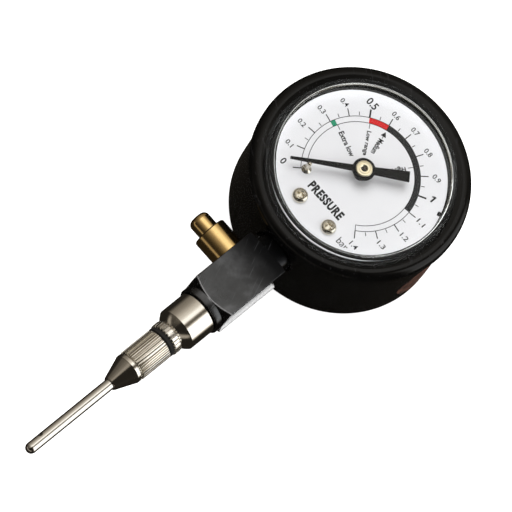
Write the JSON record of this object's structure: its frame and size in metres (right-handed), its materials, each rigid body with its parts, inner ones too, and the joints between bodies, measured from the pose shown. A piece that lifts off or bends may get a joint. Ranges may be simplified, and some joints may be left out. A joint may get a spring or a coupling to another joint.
{
  "type": "ball pressure gauge",
  "caption": "Analogue ball pressure gauge: round black dial gauge, square block with a press-to-release valve, adapter and screw-in ball needle.",
  "frame": {"origin": "centre of the case's flat back face", "axes": "+Z out of the dial; the needle points along -Y; the release valve points along -X"},
  "size_m": [0.0442, 0.1081, 0.0263],
  "materials": {
    "black_paint": "gloss black paint with fine scratches",
    "block_paint": "satin black paint, scratched",
    "clear_plastic": "clear moulded acrylic",
    "black_rubber": "matt",
    "vent_rubber": "matt reddish brown",
    "dial_white": "satin white enamel, printed scale",
    "pointer_black": "semi-gloss",
    "plated_screw": "nickel plated",
    "nickel": "bright nickel plate over turned brass",
    "needle_steel": "nickel plated, drawn tube",
    "valve_brass": "turned, bright",
    "inner_brass": "machined",
    "bronze_tube": "drawn phosphor bronze",
    "inner_steel": "fine machined",
    "dial_ink": "printed black scale",
    "dial_red": "printed red zone",
    "dial_green": "printed green mark"
  },
  "bodies": {
    "gauge": {"case": "black_paint", "bezel": "black_paint", "window": "clear_plastic", "window_gasket": "black_rubber", "vent_plug": "vent_rubber", "dial": "dial_white", "dial_screws": "plated_screw", "stop_pin": "plated_screw", "socket": "inner_brass", "case_screws": "plated_screw", "bourdon_tube": "bronze_tube", "back_plate": "inner_brass", "front_plate": "inner_brass", "pillars": "inner_brass", "pillar_screws": "inner_steel", "plate_screws": "inner_steel", "hairspring": "inner_steel", "hairspring_stud": "inner_brass", "manifold_block": "block_paint", "neck_washer": "black_rubber", "valve_collar": "valve_brass", "valve_spring": "inner_steel", "adapter_washer": "black_rubber", "adapter": "nickel", "needle_connector": "nickel"},
    "pointer": {"pointer": "pointer_black", "pointer_hub": "valve_brass", "pinion_arbor": "inner_steel"},
    "sector": {"sector_gear": "inner_brass", "sector_arbor": "inner_steel", "tail_pin": "inner_steel"},
    "tube_tip": {"tube_tip": "inner_brass", "tip_pin": "inner_steel"},
    "link": {"link": "inner_brass"},
    "plunger": {"valve_plunger": "valve_brass", "valve_seal": "black_rubber"},
    "washer": {"needle_washer": "black_rubber"},
    "needle": {"needle_chuck": "nickel", "needle_tube": "needle_steel"}
  },
  "joints": [
    {"name": "pointer_turn", "type": "hinge", "parent": "gauge", "child": "pointer", "pos_m": [0, 0, 0.0241], "axis": [0, 0, -1], "range_deg": [0, 271.2], "stiffness_Nm_per_rad": 0.00002, "springref_deg": -17.19},
    {"name": "sector_turn", "type": "hinge", "parent": "gauge", "child": "sector", "pos_m": [0, -0.0072, 0.0171], "axis": [0, 0, 1], "range_deg": [0, 54.3]},
    {"name": "tip_flex", "type": "hinge", "parent": "gauge", "child": "tube_tip", "pos_m": [-0.00104, 0.00353, 0.0125], "axis": [0, 0, 1], "range_deg": [0, 8.51], "deforming": ["bourdon_tube"]},
    {"name": "link_swing", "type": "hinge", "parent": "tube_tip", "child": "link", "pos_m": [0.0115, -0.00899, 0.0179], "axis": [0, 0, -1], "range_deg": [0, 7.9]},
    {"name": "valve_press", "type": "slide", "parent": "gauge", "child": "plunger", "axis": [1, 0, 0], "range_m": [0, 0.0015], "stiffness_N_per_m": 400, "springref_m": -0.002, "deforming": ["valve_spring"]},
    {"name": "needle_travel", "type": "slide", "parent": "gauge", "child": "washer", "axis": [0, -1, 0], "range_m": [0, 0.0048]},
    {"name": "needle_turn", "type": "hinge", "parent": "washer", "child": "needle", "pos_m": [0, -0.0515, 0.0135], "axis": [0, -1, 0], "range_deg": [0, 2160.5]}
  ],
  "couplings": [
    {"joint": "sector_turn", "follows": "pointer_turn", "ratio": 0.2},
    {"joint": "tip_flex", "follows": "pointer_turn", "ratio": 0.031342},
    {"joint": "link_swing", "follows": "pointer_turn", "ratio": 0.029093},
    {"joint": "needle_turn", "follows": "needle_travel", "rad_per_m": 7854}
  ]
}
